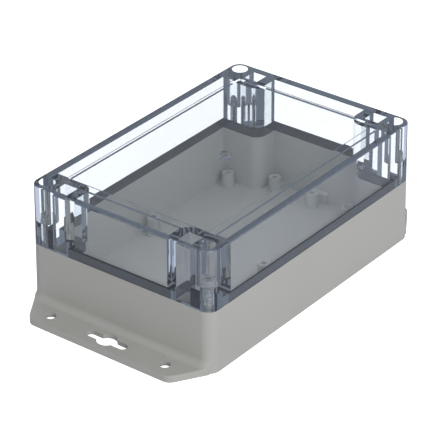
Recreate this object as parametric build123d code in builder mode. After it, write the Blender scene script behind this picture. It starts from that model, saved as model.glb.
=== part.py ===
"""Polycarbonate enclosure with a clear screwed lid and wall flanges.

The long side lies along X, the short side along Y, and Z points up.
The origin is on the underside, in the middle of the enclosure.
All sizes are in millimetres and all angles in degrees.
"""
from build123d import *
import os

# Shell, measured at the parting plane where the lid meets the base
body_length = 180.0
body_width = 120.0
corner_radius = 6.5
parting_height = 36.5
lid_height = 35.5
outer_draft = 0.7
inner_draft = 0.4
rim_wall = 4.2
floor_thickness = 3.5
lid_plate = 3.3

# Corner blocks, which stand outside the seal and carry the screws
block_reach_x = 18.7
block_reach_y = 29.35
block_nose_radius = 7.0
block_root_radius = 2.0
block_wall = 4.4
outer_skin = 2.4

# Seal
groove_width = 2.8
groove_depth = 5.0
gasket_side_gap = 0.05
tongue_width = 1.0
tongue_height = 1.2
tongue_gap = 0.3

# Lid details
lid_edge_radius = 1.0
recess_border_x = 17.0
recess_border_y = 14.25
recess_depth = 1.2
recess_corner_radius = 1.0
recess_overlap = 3.0
gate_radius = 2.8
gate_length = 2.4
gate_dimple_radius = 2.3
gate_dimple_depth = 0.5

# Lid screws and their seats
screw_inset = 7.3
well_radius = 4.55
seat_height = 13.0
lid_hole_radius = 2.25
screw_length = 22.0
shank_radius = 1.92
head_radius = 3.9
head_height = 2.6
recess_blade = 0.9
recess_span = 3.8
recess_sink = 1.5
washer_radius = 4.25
washer_bore_gap = 0.2
washer_thickness = 0.8

# Threaded inserts, hexagonal so that they can't turn in the base
insert_across_flats = 5.9
insert_length = 10.0
insert_bore_gap = 0.06
insert_press_gap = 0.05
insert_sink = 0.2
insert_well_extra = 6.0

# Wall-screw wells in the corner blocks
pocket_width = 11.9
lid_pocket_step = 1.4
well_floor = 6.0
wall_hole_radius = 2.3

# Wall flanges
flange_reach = 18.5
flange_thickness = 4.2
flange_relief = 1.6
flange_rim = 2.0
flange_root_inset = 1.7
flange_tip_inset = 13.3
flange_corner_radius = 6.0
flange_fillet = 4.0
flange_hole_radius = 3.0
flange_hole_setback = 8.0
flange_hole_inset = 21.6
keyhole_length = 26.7
keyhole_width = 5.5
keyhole_radius = 5.5

# Board posts on the floor
post_radius = 3.5
post_height = 8.5
post_pilot_radius = 1.5
post_pilot_depth = 7.0
corner_post_inset_x = 24.0
corner_post_inset_y = 11.5
end_post_inset = 12.0
side_post_inset = 10.0
inner_post_y = 24.0

# Pads on the short walls behind the middle end posts
pad_width = 11.8
pad_reach = 2.3
pad_height = 7.0
pad_chamfer = 1.2

# Places worked out from the sizes above
total_height = parting_height + lid_height
cavity_x = body_length / 2 - rim_wall
cavity_y = body_width / 2 - rim_wall
block_x = body_length / 2 - block_reach_x
block_y = body_width / 2 - block_reach_y
screw_x = body_length / 2 - screw_inset
screw_y = body_width / 2 - screw_inset
seat_z = parting_height + seat_height
plate_under = total_height - lid_plate
pad_under = plate_under - recess_depth
pocket_x_low = block_x + block_wall
pocket_x_high = body_length / 2 - outer_skin
pocket_y_low = block_y + block_wall
pocket_y_high = pocket_y_low + pocket_width
pocket_x = (pocket_x_low + pocket_x_high) / 2
pocket_y = (pocket_y_low + pocket_y_high) / 2
flange_tip_x = body_length / 2 + flange_reach
flange_hole_x = flange_tip_x - flange_hole_setback
flange_root_y = body_width / 2 - flange_root_inset
flange_tip_y = body_width / 2 - flange_tip_inset
flange_hole_y = body_width / 2 - flange_hole_inset
recess_length = body_length - 2 * recess_border_x
recess_width = body_width - 2 * recess_border_y
corner_post_x = body_length / 2 - corner_post_inset_x
corner_post_y = body_width / 2 - corner_post_inset_y
end_post_x = body_length / 2 - end_post_inset
side_post_y = body_width / 2 - side_post_inset
post_top = floor_thickness + post_height
insert_top = parting_height - insert_sink
insert_bottom = insert_top - insert_length
head_seat_z = seat_z + washer_thickness
shank_end_z = head_seat_z - screw_length
groove_grow = rim_wall / 2
blank_margin = 3 * flange_fillet
corner_signs = [(-1, -1), (1, -1), (1, 1), (-1, 1)]
same_place = 0.01


def corner_points(x, y):
    """The four places (x, y), (-x, y), (x, -y) and (-x, -y)."""
    return [(sx * x, sy * y) for sx, sy in corner_signs]


def is_nose(vertex, nose_x, nose_y):
    """True for the outline's corner at the nose of a corner block."""
    away_x, away_y = abs(vertex.X) - nose_x, abs(vertex.Y) - nose_y
    return abs(away_x) < same_place and abs(away_y) < same_place


def seal_outline(grow):
    """Plan of the sealed space, moved outwards into its wall by grow.

    It follows the outer walls and steps in round the four corner blocks.
    """
    half_x, half_y = cavity_x + grow, cavity_y + grow
    nose_x, nose_y = block_x + grow, block_y + grow
    with BuildSketch() as outline:
        Rectangle(2 * half_x, 2 * half_y)
        with Locations(*corner_points((nose_x + half_x) / 2, (nose_y + half_y) / 2)):
            Rectangle(half_x - nose_x, half_y - nose_y, mode=Mode.SUBTRACT)
        noses = [v for v in outline.vertices() if is_nose(v, nose_x, nose_y)]
        roots = [v for v in outline.vertices() if not is_nose(v, nose_x, nose_y)]
        fillet(noses, block_nose_radius - grow)
        fillet(roots, block_root_radius + grow)
    return outline.sketch


def seal_ring(width):
    """Plan of a strip of the given width along the middle of the sealing wall."""
    with BuildSketch() as ring:
        add(seal_outline(groove_grow + width / 2))
        add(seal_outline(groove_grow - width / 2), mode=Mode.SUBTRACT)
    return ring.sketch


def pocket_outline(shrink):
    """Plan of the four pockets beside the screws, outside the seal, smaller by shrink all round."""
    with BuildSketch() as outline:
        with Locations(*corner_points(pocket_x, pocket_y)):
            Rectangle(
                pocket_x_high - pocket_x_low - 2 * shrink,
                pocket_y_high - pocket_y_low - 2 * shrink,
            )
    return outline.sketch


def flange_outline():
    """Plan of both wall flanges as one plate that runs under the body."""
    with BuildSketch() as outline:
        with BuildLine():
            Polyline(
                (flange_tip_x, -flange_tip_y),
                (flange_tip_x, flange_tip_y),
                (body_length / 2, flange_root_y),
                (-body_length / 2, flange_root_y),
                (-flange_tip_x, flange_tip_y),
                (-flange_tip_x, -flange_tip_y),
                (-body_length / 2, -flange_root_y),
                (body_length / 2, -flange_root_y),
                close=True,
            )
        make_face()
        tips = outline.vertices().filter_by(lambda v: abs(v.X) > body_length / 2 + same_place)
        fillet(tips, flange_corner_radius)
    return outline.sketch


def half_shell(height, draft):
    """Solid outer form of one half, from the parting plane up or down."""
    with BuildPart() as block:
        with BuildSketch(Plane.XY.offset(parting_height)):
            RectangleRounded(body_length, body_width, corner_radius)
        extrude(amount=height, taper=draft)
    return block.part


# Wall flanges, cut from a wider plate that meets the walls in one fillet
with BuildPart() as flanges:
    add(half_shell(-parting_height, -outer_draft))
    with BuildSketch():
        Rectangle(2 * (flange_tip_x + blank_margin), body_width + 2 * blank_margin)
    extrude(amount=flange_thickness)
    fillet([e for e in flanges.edges() if e.is_interior], flange_fillet)
    with BuildSketch():
        add(flange_outline())
    extrude(amount=parting_height, mode=Mode.INTERSECT)

# Base shell
with BuildPart() as base:
    add(half_shell(-parting_height, -outer_draft))
    add(flanges.part)

    # Sealed space and the wall-screw wells
    with BuildSketch(Plane.XY.offset(parting_height)):
        add(seal_outline(0))
    extrude(amount=floor_thickness - parting_height, taper=inner_draft, mode=Mode.SUBTRACT)
    with BuildSketch(Plane.XY.offset(parting_height)):
        add(pocket_outline(0))
    extrude(amount=well_floor - parting_height, taper=inner_draft, mode=Mode.SUBTRACT)
    with Locations(*[(x, y, well_floor) for x, y in corner_points(pocket_x, pocket_y)]):
        Hole(wall_hole_radius, well_floor)

    # Tongue that presses into the gasket
    with BuildSketch(Plane.XY.offset(parting_height)):
        add(seal_ring(tongue_width))
    extrude(amount=tongue_height)

    # Hexagonal wells for the threaded inserts, deeper than the screws reach
    with BuildSketch(Plane.XY.offset(parting_height)):
        with Locations(*corner_points(screw_x, screw_y)):
            RegularPolygon(insert_across_flats / 2 + insert_press_gap, 6, major_radius=False)
    extrude(amount=insert_bottom - insert_well_extra - parting_height, mode=Mode.SUBTRACT)

    # Board posts
    post_places = (
        corner_points(corner_post_x, corner_post_y)
        + corner_points(end_post_x, inner_post_y)
        + [(0, inner_post_y), (0, -inner_post_y), (0, side_post_y), (0, -side_post_y)]
        + [(end_post_x, 0), (-end_post_x, 0)]
    )
    with BuildSketch(Plane.XY.offset(floor_thickness)):
        with Locations(*post_places):
            Circle(post_radius)
    extrude(amount=post_height)
    with Locations(*[(x, y, post_top) for x, y in post_places]):
        Hole(post_pilot_radius, post_pilot_depth)

    # Pads on the short walls, with a sloped top
    pad_top = floor_thickness + pad_height
    with BuildSketch(Plane.XZ.offset(-pad_width / 2)):
        for side in (-1, 1):
            with BuildLine():
                Polyline(
                    (side * cavity_x, floor_thickness),
                    (side * (cavity_x - pad_reach), floor_thickness),
                    (side * (cavity_x - pad_reach), pad_top - pad_chamfer),
                    (side * cavity_x, pad_top),
                    close=True,
                )
            make_face()
    extrude(amount=pad_width)

    # Relief under the flanges, which leaves them an even wall inside a rim
    with BuildSketch():
        add(flange_outline())
        offset(amount=-flange_rim, mode=Mode.REPLACE)
        Rectangle(body_length + 2 * flange_rim, body_width, mode=Mode.SUBTRACT)
    extrude(amount=flange_relief, mode=Mode.SUBTRACT)

    # Flange holes and keyholes
    with BuildSketch():
        with Locations(*corner_points(flange_hole_x, flange_hole_y)):
            Circle(flange_hole_radius)
        with Locations((flange_hole_x, 0), (-flange_hole_x, 0)):
            SlotOverall(keyhole_length, keyhole_width, rotation=90)
            Circle(keyhole_radius)
    extrude(amount=flange_thickness, mode=Mode.SUBTRACT)

# Clear lid
with BuildPart() as lid:
    add(half_shell(lid_height, outer_draft))
    fillet(lid.faces().sort_by(Axis.Z)[-1].edges(), lid_edge_radius)

    # Sealed space, with the plate's raised middle on its underside
    with BuildSketch(Plane.XY.offset(parting_height)):
        add(seal_outline(0))
    extrude(amount=plate_under - parting_height, taper=inner_draft, mode=Mode.SUBTRACT)
    with BuildSketch(Plane.XY.offset(pad_under)):
        RectangleRounded(
            recess_length + 2 * recess_overlap,
            recess_width + 2 * recess_overlap,
            recess_corner_radius + recess_overlap,
        )
    extrude(amount=lid_plate)
    with BuildSketch(Plane.XY.offset(total_height)):
        RectangleRounded(recess_length, recess_width, recess_corner_radius)
    extrude(amount=-recess_depth, mode=Mode.SUBTRACT)

    # Pockets beside the screws, closed by the plate
    with BuildSketch(Plane.XY.offset(parting_height)):
        add(pocket_outline(lid_pocket_step))
    extrude(amount=plate_under - parting_height, taper=inner_draft, mode=Mode.SUBTRACT)

    # Screw wells, open at the top
    with Locations(*[(x, y, total_height) for x, y in corner_points(screw_x, screw_y)]):
        CounterBoreHole(lid_hole_radius, well_radius, total_height - seat_z, lid_height)

    # Groove for the gasket
    with BuildSketch(Plane.XY.offset(parting_height)):
        add(seal_ring(groove_width))
    extrude(amount=groove_depth, mode=Mode.SUBTRACT)

    # Moulding gate, a stub under the middle of the plate with a dimple above it
    with BuildSketch(Plane.XY.offset(pad_under)):
        Circle(gate_radius)
    extrude(amount=-gate_length)
    with BuildSketch(Plane.XY.offset(total_height - recess_depth)):
        Circle(gate_dimple_radius)
    extrude(amount=-gate_dimple_depth, mode=Mode.SUBTRACT)

# Gasket, a strip with a channel over the tongue
with BuildPart() as gasket:
    with BuildSketch(Plane.XY.offset(parting_height)):
        add(seal_ring(groove_width - 2 * gasket_side_gap))
    extrude(amount=groove_depth)
    with BuildSketch(Plane.XY.offset(parting_height)):
        add(seal_ring(tongue_width + 2 * tongue_gap))
    extrude(amount=tongue_height, mode=Mode.SUBTRACT)


def make_washer(x, y):
    """Flat washer under a screw head, on the seat in the lid."""
    with BuildPart() as washer:
        with BuildSketch(Plane.XY.offset(seat_z)):
            with Locations((x, y)):
                Circle(washer_radius)
                Circle(shank_radius + washer_bore_gap, mode=Mode.SUBTRACT)
        extrude(amount=washer_thickness)
    return washer.part


def make_screw(x, y):
    """Pan head screw with a cross recess."""
    with BuildPart() as screw:
        with BuildSketch(Plane.XY.offset(shank_end_z)):
            with Locations((x, y)):
                Circle(shank_radius)
        extrude(amount=screw_length)
        with BuildSketch(Plane.XY.offset(head_seat_z)):
            with Locations((x, y)):
                Circle(head_radius)
        extrude(amount=head_height)
        with BuildSketch(Plane.XY.offset(head_seat_z + head_height)):
            with Locations((x, y)):
                Rectangle(recess_span, recess_blade)
                Rectangle(recess_blade, recess_span)
        extrude(amount=-recess_sink, mode=Mode.SUBTRACT)
    return screw.part


def make_insert(x, y):
    """Hexagonal brass insert with a plain bore."""
    with BuildPart() as insert:
        with BuildSketch(Plane.XY.offset(insert_bottom)):
            with Locations((x, y)):
                RegularPolygon(insert_across_flats / 2, 6, major_radius=False)
                Circle(shank_radius + insert_bore_gap, mode=Mode.SUBTRACT)
        extrude(amount=insert_length)
    return insert.part


# Labels and files
pieces = {"enclosure_base": base.part, "clear_lid": lid.part, "lid_gasket": gasket.part}
for number, (x, y) in enumerate(corner_points(screw_x, screw_y), start=1):
    pieces[f"lid_screw_{number}"] = make_screw(x, y)
    pieces[f"screw_washer_{number}"] = make_washer(x, y)
    pieces[f"thread_insert_{number}"] = make_insert(x, y)

os.makedirs("parts", exist_ok=True)
for name, piece in pieces.items():
    piece.label = name
    export_step(piece, f"parts/{name}.step")
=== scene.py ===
"""Looks of a polycarbonate enclosure with a clear screwed lid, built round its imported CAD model.

The row frame has X along the long side, Y along the short side and Z up, with the origin
under the middle of the enclosure. Lengths are in metres, and MM turns millimetres into them.
"""
import bpy
import bmesh
import math
from mathutils import Matrix, Vector


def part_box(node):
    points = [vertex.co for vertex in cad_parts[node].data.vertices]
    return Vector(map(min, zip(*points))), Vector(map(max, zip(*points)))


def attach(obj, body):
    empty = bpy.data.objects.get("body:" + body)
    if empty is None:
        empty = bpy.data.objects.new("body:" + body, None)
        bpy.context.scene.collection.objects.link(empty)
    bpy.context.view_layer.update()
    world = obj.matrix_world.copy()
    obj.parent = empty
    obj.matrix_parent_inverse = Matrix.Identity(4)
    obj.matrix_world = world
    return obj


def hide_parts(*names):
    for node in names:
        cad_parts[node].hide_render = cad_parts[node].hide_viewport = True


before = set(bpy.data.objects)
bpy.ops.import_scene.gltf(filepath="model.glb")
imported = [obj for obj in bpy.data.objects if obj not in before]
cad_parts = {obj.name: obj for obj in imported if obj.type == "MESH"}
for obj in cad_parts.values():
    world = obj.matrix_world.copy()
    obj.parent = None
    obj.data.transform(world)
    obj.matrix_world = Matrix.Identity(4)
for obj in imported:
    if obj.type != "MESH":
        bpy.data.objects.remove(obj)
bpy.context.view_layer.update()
scene = bpy.context.scene
MM = 0.001

# Camera, found by fitting the straight edges of the enclosure in the 444 by 444 picture
CAMERA_AZIMUTH = -52.403
CAMERA_ELEVATION = 29.899
CAMERA_ROLL = -0.14
CAMERA_DISTANCE = 1315.5 * MM
CAMERA_TARGET = Vector((-12.83, -7.8, 37.0)) * MM
CAMERA_LENS = 200.17

# Angles in degrees: an edge sharper than the first stays crisp, and triangles that lie within
# the second of one another are joined into one flat face
SHARP_ANGLE = 24.0
FLAT_ANGLE = 0.3

# Points closer together than this are one point
MERGE_DISTANCE = 0.002 * MM

# Thread of the M4 lid screws, and the plain part of the shank above it
THREAD_PITCH = 0.7 * MM
THREAD_DEPTH = 0.38 * MM
THREAD_CREST = 0.1 * MM
THREAD_STEPS = 20
THREAD_RUNOUT = 1.4 * MM

# Rounded edges, and the gap between the lid's rim and the base
EDGE_ROUND = 0.5 * MM
ROUND_SEGMENTS = 3
SEAM_GAP = 0.04 * MM

# How the edges to round are found: the height of a flange, how far out its rim lies, the reach
# of a screw well round its axis, and how far a face's normal points up, which is more than the
# first share on a level face and less than the others on an upright one
FLANGE_TOP = 4.2 * MM
FLANGE_TIP_X = 107.0 * MM
FLANGE_SIDE_Y = 44.0 * MM
WELL_REACH = 4.9 * MM
LEVEL_FACE = 0.9
UPRIGHT_RIM = 0.1
UPRIGHT_WALL = 0.2

# Screws, washers and inserts are numbered by corner
CORNERS = range(1, 5)

# Refraction of polycarbonate, and the grain of each finish in millimetres
POLYCARBONATE_IOR = 1.585
GRIT_SIZE = 0.5
FLOW_SIZE = 45.0
RIPPLE_SIZE = 18.0
MOTTLE_SIZE = 0.8
RING_SIZE = 0.25

# Turning marks: how much slower the grain changes across the part than up it, and how far the
# roughness goes below and above the metal's own
RING_SQUEEZE = 0.15
GLOSSIER = 0.06
DULLER = 0.08

# White floor: its width and its drop below the enclosure in metres, the share of glow in its
# white, and the strength of that glow
FLOOR_SIZE = 3.0
FLOOR_DROP = 0.2 * MM
FLOOR_WHITE = 0.85
FLOOR_GLOW = 1.55

# Lamps: place and width in metres, power in watts. The key lamp is in front, to the right of
# the camera, and the fill lamp is behind the enclosure
KEY_PLACE = (-0.55, -1.15, 0.75)
KEY_SIZE = 0.9
KEY_WATTS = 11.0
FILL_PLACE = (1.0, 0.6, 1.1)
FILL_SIZE = 1.0
FILL_WATTS = 4.0

# What clear walls bend a look up to, what shines on a surface from outside, what is mirrored
# within clear walls, and the slate tone left after many mirrorings. All are painted reflection
# tones, which the surroundings and floor show to rays seen through or in a surface, never to the
# camera: they paint the lid's pale sheen and its slate bands
SKY_COLOUR = "A8B1BE"
SKY_SHINE = "BAC2CE"
FLOOR_SHINE = "CCD4E4"
SKY_MIRRORED = "6A7280"
FLOOR_MIRRORED = "6E7682"
PAINTED_SLATE_TONE = "5E6672"

# Counts that a ray has to exceed: of mirrorings, and of passes through clear surfaces
ANY = 0.5
MIRRORED_OFTEN = 2.5
SKY_PASSES = 0.5
FLOOR_PASSES = 2.5

# Number of mirrorings after which only the painted slate tone is left
SLATE_TONE_AFTER = 4.0

# How strongly the surroundings light matt surfaces, outside the lid and inside it
DULL_LIGHT = 0.45
INSIDE_LIGHT = 1.1


def linear(hex_colour):
    """sRGB hex such as 'B0B0AC' as a linear colour with full alpha."""
    parts = [int(hex_colour[i : i + 2], 16) / 255 for i in (0, 2, 4)]
    return [c / 12.92 if c <= 0.04045 else ((c + 0.055) / 1.055) ** 2.4 for c in parts] + [1.0]


def add_node(tree, kind, inputs=None, **settings):
    """Adds a node: a socket given for an input is linked to it, anything else is its value.

    Inputs go by name, or by number where names repeat: on a colour Mix node 0 is the factor, and
    6 and 7 are the two colours.
    """
    made = tree.nodes.new(kind)
    for name, value in settings.items():
        setattr(made, name, value)
    for name, value in (inputs or {}).items():
        if isinstance(value, bpy.types.NodeSocket):
            tree.links.new(value, made.inputs[name])
        else:
            made.inputs[name].default_value = value
    return made


def new_material(name):
    """An empty node material and its tree, with the object's own coordinates."""
    material = bpy.data.materials.new(name)
    material.use_nodes = True
    tree = material.node_tree
    tree.nodes.clear()
    place = add_node(tree, "ShaderNodeTexCoord").outputs["Object"]
    return material, tree, place


def per_metre(size_mm):
    """Scale of a noise texture whose grain is about size_mm across."""
    return 1 / (size_mm * MM)


def moulded_grey_polycarbonate():
    """Light grey polycarbonate from a spark-eroded mould.

    The tool leaves a fine even grit, which gives a soft sheen without a clear reflection.
    The grit is drawn at 0.5 mm, coarser than the real 0.1 mm, so that it shows in a render.
    """
    material, tree, place = new_material("moulded_grey_polycarbonate")
    grit = add_node(
        tree,
        "ShaderNodeTexNoise",
        {"Vector": place, "Scale": per_metre(GRIT_SIZE), "Detail": 2.0},
    )
    flow = add_node(
        tree,
        "ShaderNodeTexNoise",
        {"Vector": place, "Scale": per_metre(FLOW_SIZE), "Detail": 1.0},
    )
    tint = add_node(
        tree,
        "ShaderNodeMix",
        {0: flow.outputs["Fac"], 6: linear("AEAEA9"), 7: linear("B4B4B0")},
        data_type="RGBA",
    )
    gloss = add_node(
        tree,
        "ShaderNodeMapRange",
        {"Value": grit.outputs["Fac"], "To Min": 0.42, "To Max": 0.58},
    )
    bump = add_node(
        tree,
        "ShaderNodeBump",
        {"Height": grit.outputs["Fac"], "Strength": 0.35, "Distance": 0.03 * MM},
    )
    shader = add_node(
        tree,
        "ShaderNodeBsdfPrincipled",
        {
            "Base Color": tint.outputs[2],
            "Roughness": gloss.outputs["Result"],
            "IOR": POLYCARBONATE_IOR,
            "Normal": bump.outputs["Normal"],
        },
    )
    add_node(tree, "ShaderNodeOutputMaterial", {"Surface": shader.outputs[0]})
    return material


def clear_polycarbonate():
    """Clear polycarbonate from a polished mould, with the faint blue of its heat stabiliser.

    Lamps pass through it to what is behind, so their rays meet a pale film instead of glass.
    Under the rim, which lies on the base, little light comes out. A look that was mirrored
    often within the walls meets one painted slate tone, a glow in place of its reflections.
    """
    material, tree, place = new_material("clear_polycarbonate")
    ripple = add_node(
        tree,
        "ShaderNodeTexNoise",
        {"Vector": place, "Scale": per_metre(RIPPLE_SIZE), "Detail": 1.0},
    )
    wave = add_node(
        tree,
        "ShaderNodeBump",
        {"Height": ripple.outputs["Fac"], "Strength": 0.05, "Distance": 0.1 * MM},
    )
    glass = add_node(
        tree,
        "ShaderNodeBsdfPrincipled",
        {
            "Base Color": linear("FBFDFF"),
            "Roughness": 0.0,
            "IOR": POLYCARBONATE_IOR,
            "Transmission Weight": 1.0,
            "Normal": wave.outputs["Normal"],
        },
    )
    film = add_node(tree, "ShaderNodeBsdfTransparent", {"Color": linear("C8CACC")})
    block = add_node(tree, "ShaderNodeBsdfTransparent", {"Color": linear("707070")})
    height = add_node(tree, "ShaderNodeSeparateXYZ", {"Vector": place})
    rim_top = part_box("clear_lid")[0].z + 2 * SEAM_GAP
    under = add_node(
        tree,
        "ShaderNodeMath",
        {0: height.outputs["Z"], 1: rim_top},
        operation="LESS_THAN",
    )
    shade = add_node(
        tree,
        "ShaderNodeMixShader",
        {0: under.outputs[0], 1: film.outputs[0], 2: block.outputs[0]},
    )
    path = add_node(tree, "ShaderNodeLightPath").outputs
    often = add_node(
        tree,
        "ShaderNodeMath",
        {0: path["Glossy Depth"], 1: MIRRORED_OFTEN},
        operation="GREATER_THAN",
    )
    # Painted slate: a glow in place of looks mirrored often within the walls, standing in for their
    # reflections
    painted_slate = add_node(tree, "ShaderNodeEmission", {"Color": linear(PAINTED_SLATE_TONE), "Strength": 1.0})
    seen = add_node(
        tree,
        "ShaderNodeMixShader",
        {0: often.outputs[0], 1: glass.outputs[0], 2: painted_slate.outputs[0]},
    )
    both = add_node(
        tree,
        "ShaderNodeMixShader",
        {0: path["Is Shadow Ray"], 1: seen.outputs[0], 2: shade.outputs[0]},
    )
    depth = add_node(tree, "ShaderNodeVolumeAbsorption", {"Color": linear("A8BCD0"), "Density": 9.0})
    add_node(
        tree,
        "ShaderNodeOutputMaterial",
        {"Surface": both.outputs[0], "Volume": depth.outputs[0]},
    )
    return material


def gasket_elastomer():
    """Black thermoplastic elastomer, matt and slightly mottled from its moulding."""
    material, tree, place = new_material("gasket_elastomer")
    mottle = add_node(
        tree,
        "ShaderNodeTexNoise",
        {"Vector": place, "Scale": per_metre(MOTTLE_SIZE), "Detail": 3.0},
    )
    tint = add_node(
        tree,
        "ShaderNodeMix",
        {0: mottle.outputs["Fac"], 6: linear("101113"), 7: linear("1A1C1F")},
        data_type="RGBA",
    )
    bump = add_node(
        tree,
        "ShaderNodeBump",
        {"Height": mottle.outputs["Fac"], "Strength": 0.3, "Distance": 0.05 * MM},
    )
    shader = add_node(
        tree,
        "ShaderNodeBsdfPrincipled",
        {"Base Color": tint.outputs[2], "Roughness": 0.75, "Normal": bump.outputs["Normal"]},
    )
    add_node(tree, "ShaderNodeOutputMaterial", {"Surface": shader.outputs[0]})
    return material


def turned_metal(name, dark, light, roughness, bright):
    """Metal turned on a lathe: fine rings up the part change its colour and gloss a little.

    The rings are too fine to draw and scatter light, so only the bright share acts as a mirror.
    """
    material, tree, place = new_material(name)
    rings = add_node(
        tree,
        "ShaderNodeMapping",
        {"Vector": place, "Scale": (RING_SQUEEZE, RING_SQUEEZE, 1.0)},
    )
    marks = add_node(
        tree,
        "ShaderNodeTexNoise",
        {"Vector": rings.outputs["Vector"], "Scale": per_metre(RING_SIZE), "Detail": 2.0},
    )
    tint = add_node(
        tree,
        "ShaderNodeMix",
        {0: marks.outputs["Fac"], 6: linear(dark), 7: linear(light)},
        data_type="RGBA",
    )
    gloss = add_node(
        tree,
        "ShaderNodeMapRange",
        {"Value": marks.outputs["Fac"], "To Min": roughness - GLOSSIER, "To Max": roughness + DULLER},
    )
    shader = add_node(
        tree,
        "ShaderNodeBsdfPrincipled",
        {"Base Color": tint.outputs[2], "Metallic": bright, "Roughness": gloss.outputs["Result"]},
    )
    add_node(tree, "ShaderNodeOutputMaterial", {"Surface": shader.outputs[0]})
    return material


def stainless_steel():
    """Austenitic stainless steel of a machined screw, bright with fine turning rings."""
    return turned_metal("stainless_steel", "B4B4B2", "DEDEDB", 0.26, 0.7)


def machined_brass():
    """Free-cutting brass of a threaded insert, satin and a little warm."""
    return turned_metal("machined_brass", "A98645", "D2B26A", 0.3, 0.8)


def merged_copy(node_name):
    """A bmesh of a CAD node, with its loose triangles joined into closed surfaces."""
    bm = bmesh.new()
    bm.from_mesh(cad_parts[node_name].data)
    bmesh.ops.remove_doubles(bm, verts=bm.verts, dist=MERGE_DISTANCE)
    return bm


def finish_piece(bm, name, node_name, body, material):
    """Turns a bmesh into a smooth-shaded object that stands for a CAD node."""
    for face in bm.faces:
        face.smooth = True
    for edge in bm.edges:
        edge.smooth = edge.calc_face_angle(math.pi) < math.radians(SHARP_ANGLE)
    mesh = bpy.data.meshes.new(name)
    bm.to_mesh(mesh)
    bm.free()
    piece = bpy.data.objects.new(name, mesh)
    scene.collection.objects.link(piece)
    mesh.materials.append(material)
    shade = piece.modifiers.new("flat faces stay flat", "WEIGHTED_NORMAL")
    shade.keep_sharp = True
    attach(piece, body)
    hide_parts(node_name)
    return piece


def threaded_shank(axis, low, high, radius):
    """A bmesh of a screw thread between two heights, closed at both ends."""
    bm = bmesh.new()
    minor = radius - THREAD_DEPTH
    flank = (THREAD_PITCH - THREAD_CREST) / 2
    start = low - THREAD_PITCH
    outline = [
        (minor, start),
        (radius, start + flank),
        (radius, start + flank + THREAD_CREST),
        (minor, start + THREAD_PITCH),
    ]
    points = [bm.verts.new((axis.x + x, axis.y, z)) for x, z in outline]
    edges = [bm.edges.new(pair) for pair in zip(points, points[1:])]
    turns = math.ceil((high - low) / THREAD_PITCH) + 2
    bmesh.ops.spin(
        bm,
        geom=points + edges,
        cent=axis,
        axis=(0, 0, 1),
        dvec=(0, 0, THREAD_PITCH / THREAD_STEPS),
        angle=math.tau * turns,
        steps=THREAD_STEPS * turns,
    )
    bmesh.ops.remove_doubles(bm, verts=bm.verts, dist=MERGE_DISTANCE)
    for height, side in ((low, -1), (high, 1)):
        everything = bm.verts[:] + bm.edges[:] + bm.faces[:]
        cut = bmesh.ops.bisect_plane(
            bm,
            geom=everything,
            plane_co=(0, 0, height),
            plane_no=(0, 0, side),
            clear_outer=True,
        )
        rim = [e for e in cut["geom_cut"] if isinstance(e, bmesh.types.BMEdge)]
        bmesh.ops.edgeloop_fill(bm, edges=rim)
    bmesh.ops.recalc_face_normals(bm, faces=bm.faces)
    return bm


def soften(bm, edges, width):
    """Rounds the given edges, after the flat faces have been made whole."""
    bmesh.ops.bevel(
        bm,
        geom=edges,
        offset=width,
        offset_type="OFFSET",
        segments=ROUND_SEGMENTS,
        profile=0.5,
        affect="EDGES",
        clamp_overlap=True,
        material=-1,
    )


def make_whole(bm):
    """Joins the triangles of flat faces, so that an edge between two faces can be rounded."""
    bmesh.ops.dissolve_limit(
        bm,
        angle_limit=math.radians(FLAT_ANGLE),
        verts=bm.verts[:],
        edges=bm.edges[:],
    )


def is_flange_rim(edge, body_end):
    """True for an edge along the outside of a wall flange, at its top or its underside."""
    if len(edge.link_faces) != 2:
        return False
    first, last = (v.co for v in edge.verts)
    middle = (first + last) / 2
    if abs(first.z - last.z) > MERGE_DISTANCE or abs(middle.x) < body_end:
        return False
    if min(abs(middle.z), abs(middle.z - FLANGE_TOP)) > MERGE_DISTANCE:
        return False
    if abs(middle.x) < FLANGE_TIP_X and abs(middle.y) < FLANGE_SIDE_Y:
        return False
    flat, upright = sorted(edge.link_faces, key=lambda face: -abs(face.normal.z))
    outwards = Vector((middle.x, middle.y, 0)).dot(upright.normal)
    square = abs(flat.normal.z) > LEVEL_FACE and abs(upright.normal.z) < UPRIGHT_RIM
    return square and outwards > 0


def make_base():
    """The grey base, with the outer edges of its flanges rounded as a mould leaves them."""
    bm = merged_copy("enclosure_base")
    make_whole(bm)
    body_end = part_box("clear_lid")[1].x
    rims = [edge for edge in bm.edges if is_flange_rim(edge, body_end)]
    soften(bm, rims, EDGE_ROUND)
    return finish_piece(bm, "grey_base", "enclosure_base", "base", grey)


def is_lid_edge(edge, top, axes):
    """True for an edge along the outside of the lid's top, away from the screw wells."""
    if len(edge.link_faces) != 2:
        return False
    first, last = (v.co for v in edge.verts)
    if max(abs(first.z - top), abs(last.z - top)) > MERGE_DISTANCE:
        return False
    middle = (first + last) / 2
    if min((middle - axis).xy.length for axis in axes) < WELL_REACH:
        return False
    flat, upright = sorted(edge.link_faces, key=lambda face: -abs(face.normal.z))
    outwards = Vector((middle.x, middle.y, 0)).dot(upright.normal)
    square = abs(flat.normal.z) > LEVEL_FACE and abs(upright.normal.z) < UPRIGHT_WALL
    return square and outwards > 0


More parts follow.
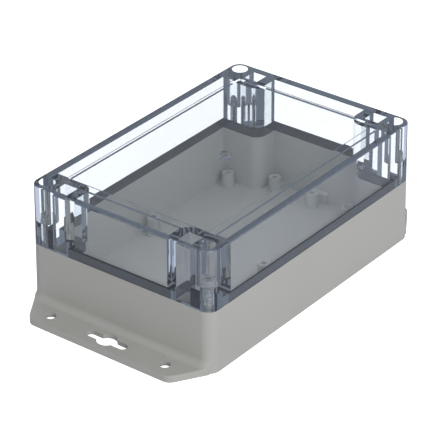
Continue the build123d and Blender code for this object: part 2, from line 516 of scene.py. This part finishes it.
def make_lid():
    """The clear lid, its outer top edge rounded and its rim a hair above the base.

    The gap under the rim keeps the two from merging, so that the rim mirrors light as real ones do.
    """
    bm = merged_copy("clear_lid")
    make_whole(bm)
    rim, top = (corner.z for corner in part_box("clear_lid"))
    screws = [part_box(f"lid_screw_{number}") for number in CORNERS]
    axes = [(low + high) / 2 for low, high in screws]
    edges = [edge for edge in bm.edges if is_lid_edge(edge, top, axes)]
    soften(bm, edges, EDGE_ROUND)
    for vertex in bm.verts:
        if abs(vertex.co.z - rim) < MERGE_DISTANCE:
            vertex.co.z += SEAM_GAP
    return finish_piece(bm, "clear_cover", "clear_lid", "lid", clear)


def make_gasket():
    """The gasket strip in the lid's groove."""
    bm = merged_copy("lid_gasket")
    return finish_piece(bm, "gasket_strip", "lid_gasket", "lid", elastomer)


def make_screw(number):
    """A lid screw: the head of the CAD node on a shank with a real thread."""
    node_name = f"lid_screw_{number}"
    low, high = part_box(node_name)
    washer_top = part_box(f"screw_washer_{number}")[1].z
    axis = Vector(((low.x + high.x) / 2, (low.y + high.y) / 2, 0))
    bm = merged_copy(node_name)
    shank = [v for v in bm.verts if v.co.z < washer_top - MERGE_DISTANCE]
    radius = max((Vector((v.co.x, v.co.y, 0)) - axis).length for v in shank)
    plain_end = washer_top - THREAD_RUNOUT
    everything = bm.verts[:] + bm.edges[:] + bm.faces[:]
    cut = bmesh.ops.bisect_plane(
        bm,
        geom=everything,
        plane_co=(0, 0, plain_end),
        plane_no=(0, 0, -1),
        clear_outer=True,
    )
    rim = [e for e in cut["geom_cut"] if isinstance(e, bmesh.types.BMEdge)]
    bmesh.ops.edgeloop_fill(bm, edges=rim)
    thread = threaded_shank(axis, low.z, plain_end, radius)
    part = bpy.data.meshes.new("thread")
    thread.to_mesh(part)
    thread.free()
    bm.from_mesh(part)
    bpy.data.meshes.remove(part)
    name, body = f"screw_{number}_steel", f"screw_{number}"
    return finish_piece(bm, name, node_name, body, steel)


def make_washer(number):
    """The flat washer under a screw head."""
    node_name = f"screw_washer_{number}"
    bm = merged_copy(node_name)
    name, body = f"washer_{number}_steel", f"washer_{number}"
    return finish_piece(bm, name, node_name, body, steel)


def make_insert(number):
    """The brass insert under a lid screw."""
    node_name = f"thread_insert_{number}"
    bm = merged_copy(node_name)
    return finish_piece(bm, f"insert_{number}_brass", node_name, "base", brass)


def seen_by_rays(tree, dull, ahead, shine, mirrored, passes):
    """Shader of the surroundings that depends on how a ray got there.

    A ray that looks straight out, or through clear walls, meets ahead. One that was mirrored and
    went through few clear surfaces meets shine. After more passes it meets the mirrored colour,
    which turns with each further mirroring to the painted slate tone. Shine, the mirrored colour
    and the slate tone are painted reflections, which the camera never meets. One that a matt
    surface has scattered meets dull.
    """
    path = add_node(tree, "ShaderNodeLightPath").outputs
    looks = add_node(
        tree,
        "ShaderNodeMath",
        {0: path["Is Camera Ray"], 1: path["Is Glossy Ray"]},
        operation="MAXIMUM",
    )
    looks = add_node(
        tree,
        "ShaderNodeMath",
        {0: looks.outputs[0], 1: path["Is Transmission Ray"]},
        operation="MAXIMUM",
    )
    fresh = add_node(
        tree,
        "ShaderNodeMath",
        {0: path["Diffuse Depth"], 1: ANY},
        operation="LESS_THAN",
    )
    looked_at = add_node(
        tree,
        "ShaderNodeMath",
        {0: looks.outputs[0], 1: fresh.outputs[0]},
        operation="MULTIPLY",
    )
    bounced = add_node(
        tree,
        "ShaderNodeMath",
        {0: path["Glossy Depth"], 1: ANY},
        operation="GREATER_THAN",
    )
    # Painted reflection: with each mirroring the mirrored colour turns further to the painted slate
    # tone
    toward_slate = add_node(
        tree,
        "ShaderNodeMapRange",
        {"Value": path["Glossy Depth"], "From Min": 1.0, "From Max": SLATE_TONE_AFTER},
    )
    tint = add_node(
        tree,
        "ShaderNodeMix",
        {0: toward_slate.outputs["Result"], 6: linear(mirrored), 7: linear(PAINTED_SLATE_TONE)},
        data_type="RGBA",
    )
    within = add_node(
        tree,
        "ShaderNodeMath",
        {0: path["Transmission Depth"], 1: passes},
        operation="GREATER_THAN",
    )
    colour = add_node(
        tree,
        "ShaderNodeMix",
        {0: within.outputs[0], 6: linear(shine), 7: tint.outputs[2]},
        data_type="RGBA",
    )
    glimpse = add_node(tree, "ShaderNodeEmission", {"Color": colour.outputs[2], "Strength": 1.0})
    view = add_node(
        tree,
        "ShaderNodeMixShader",
        {0: bounced.outputs[0], 1: ahead, 2: glimpse.outputs[0]},
    )
    return add_node(
        tree,
        "ShaderNodeMixShader",
        {0: looked_at.outputs[0], 1: dull, 2: view.outputs[0]},
    )


def make_floor():
    """A plain white floor. Its paint takes the shadow of the enclosure, which its glow outshines."""
    bm = bmesh.new()
    bmesh.ops.create_grid(bm, x_segments=1, y_segments=1, size=FLOOR_SIZE / 2)
    bmesh.ops.translate(bm, verts=bm.verts, vec=(0, 0, -FLOOR_DROP))
    mesh = bpy.data.meshes.new("floor")
    bm.to_mesh(mesh)
    bm.free()
    floor = bpy.data.objects.new("floor", mesh)
    scene.collection.objects.link(floor)
    material, tree, _ = new_material("white_floor")
    paint = add_node(tree, "ShaderNodeBsdfDiffuse", {"Color": linear("E8E8E8")}).outputs[0]
    glow = add_node(tree, "ShaderNodeEmission", {"Color": linear("FFFFFF"), "Strength": FLOOR_GLOW})
    lit = add_node(tree, "ShaderNodeMixShader", {0: FLOOR_WHITE, 1: paint, 2: glow.outputs[0]})
    # Mirrored looks meet the floor in painted reflection tones, not in its white
    shown = seen_by_rays(tree, paint, lit.outputs[0], FLOOR_SHINE, FLOOR_MIRRORED, FLOOR_PASSES)
    add_node(tree, "ShaderNodeOutputMaterial", {"Surface": shown.outputs[0]})
    mesh.materials.append(material)


def make_world():
    """Surroundings that are white behind everything and light matt surfaces gently.

    To rays other than the camera's they show painted reflection tones: pale grey through clear
    walls, and greyer where they are mirrored. Matt surfaces inside the lid get more light, in
    place of what its walls hold back.
    """
    world = bpy.data.worlds.new("studio")
    scene.world = world
    world.use_nodes = True
    tree = world.node_tree
    tree.nodes.clear()
    path = add_node(tree, "ShaderNodeLightPath").outputs
    inside = add_node(
        tree,
        "ShaderNodeMapRange",
        {
            "Value": path["Transmission Depth"],
            "From Max": 1.0,
            "To Min": DULL_LIGHT,
            "To Max": INSIDE_LIGHT,
        },
    )
    dull = add_node(
        tree,
        "ShaderNodeBackground",
        {"Color": linear("FFFFFF"), "Strength": inside.outputs["Result"]},
    )
    # Painted tone: the sky that a look through clear walls meets, grey in place of the white backdrop
    sky = add_node(tree, "ShaderNodeBackground", {"Color": linear(SKY_COLOUR), "Strength": 1.0})
    backdrop = add_node(tree, "ShaderNodeBackground", {"Color": linear("FFFFFF"), "Strength": 1.0})
    ahead = add_node(
        tree,
        "ShaderNodeMixShader",
        {0: path["Is Camera Ray"], 1: sky.outputs[0], 2: backdrop.outputs[0]},
    )
    shown = seen_by_rays(tree, dull.outputs[0], ahead.outputs[0], SKY_SHINE, SKY_MIRRORED, SKY_PASSES)
    add_node(tree, "ShaderNodeOutputWorld", {"Surface": shown.outputs[0]})


def make_lamp(name, position, size, watts, gleams):
    """A square soft lamp that faces the middle of the enclosure.

    It isn't seen through the clear lid, since the lid's film lets its light in already. Only a
    lamp that gleams is seen in mirrors.
    """
    light = bpy.data.lights.new(name, "AREA")
    light.size = size
    light.energy = watts
    lamp = bpy.data.objects.new(name, light)
    scene.collection.objects.link(lamp)
    lamp.location = position
    lamp.visible_transmission = False
    lamp.visible_glossy = gleams
    lamp.rotation_euler = (CAMERA_TARGET - Vector(position)).to_track_quat("-Z", "Y").to_euler()


def make_camera():
    """The camera at the picture's place, turned by its small roll."""
    turn, rise = math.radians(CAMERA_AZIMUTH), math.radians(CAMERA_ELEVATION)
    back = Vector((math.sin(turn) * math.cos(rise), -math.cos(turn) * math.cos(rise), math.sin(rise)))
    data = bpy.data.cameras.new("camera")
    data.lens = CAMERA_LENS
    camera = bpy.data.objects.new("camera", data)
    scene.collection.objects.link(camera)
    facing = (-back).to_track_quat("-Z", "Y").to_matrix().to_4x4()
    roll = Matrix.Rotation(math.radians(CAMERA_ROLL), 4, "Z")
    camera.matrix_world = Matrix.Translation(CAMERA_TARGET + back * CAMERA_DISTANCE) @ facing @ roll
    scene.camera = camera


grey = moulded_grey_polycarbonate()
clear = clear_polycarbonate()
elastomer = gasket_elastomer()
steel = stainless_steel()
brass = machined_brass()

make_base()
make_lid()
make_gasket()
for corner in CORNERS:
    make_screw(corner)
    make_washer(corner)
    make_insert(corner)

make_floor()
make_world()
make_lamp("key", KEY_PLACE, KEY_SIZE, KEY_WATTS, True)
make_lamp("fill", FILL_PLACE, FILL_SIZE, FILL_WATTS, False)
make_camera()
scene.view_settings.view_transform = "Standard"
